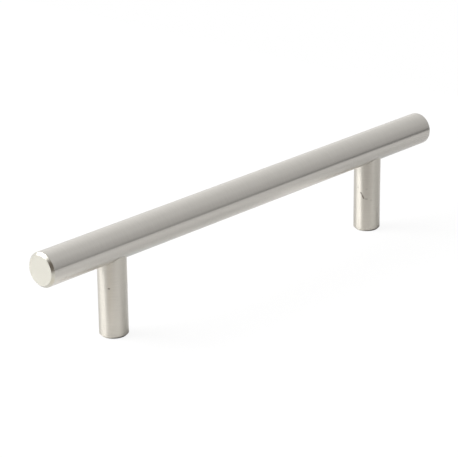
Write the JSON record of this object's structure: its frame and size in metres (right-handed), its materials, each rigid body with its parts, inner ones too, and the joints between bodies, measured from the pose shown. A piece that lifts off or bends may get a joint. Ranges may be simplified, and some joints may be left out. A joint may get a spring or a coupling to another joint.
{
  "type": "t bar cabinet pull",
  "caption": "Round bar pull for a cabinet door or drawer: a straight bar that overhangs two turned posts, each coped to the bar and tapped at its foot.",
  "frame": {"origin": "on the mounting face, midway between the two feet", "axes": "+X along the bar, +Z away from the cabinet front, from the feet to the bar"},
  "size_m": [0.188, 0.0112, 0.0358],
  "materials": {
    "bar": "satin nickel, brushed round the bar",
    "post": "satin nickel, turned and brushed round the post",
    "pin": "plain ground steel"
  },
  "bodies": {
    "root": {"bar": "bar", "left_post": "post", "right_post": "post", "left_joint_pin": "pin", "right_joint_pin": "pin"}
  },
  "joints": []
}
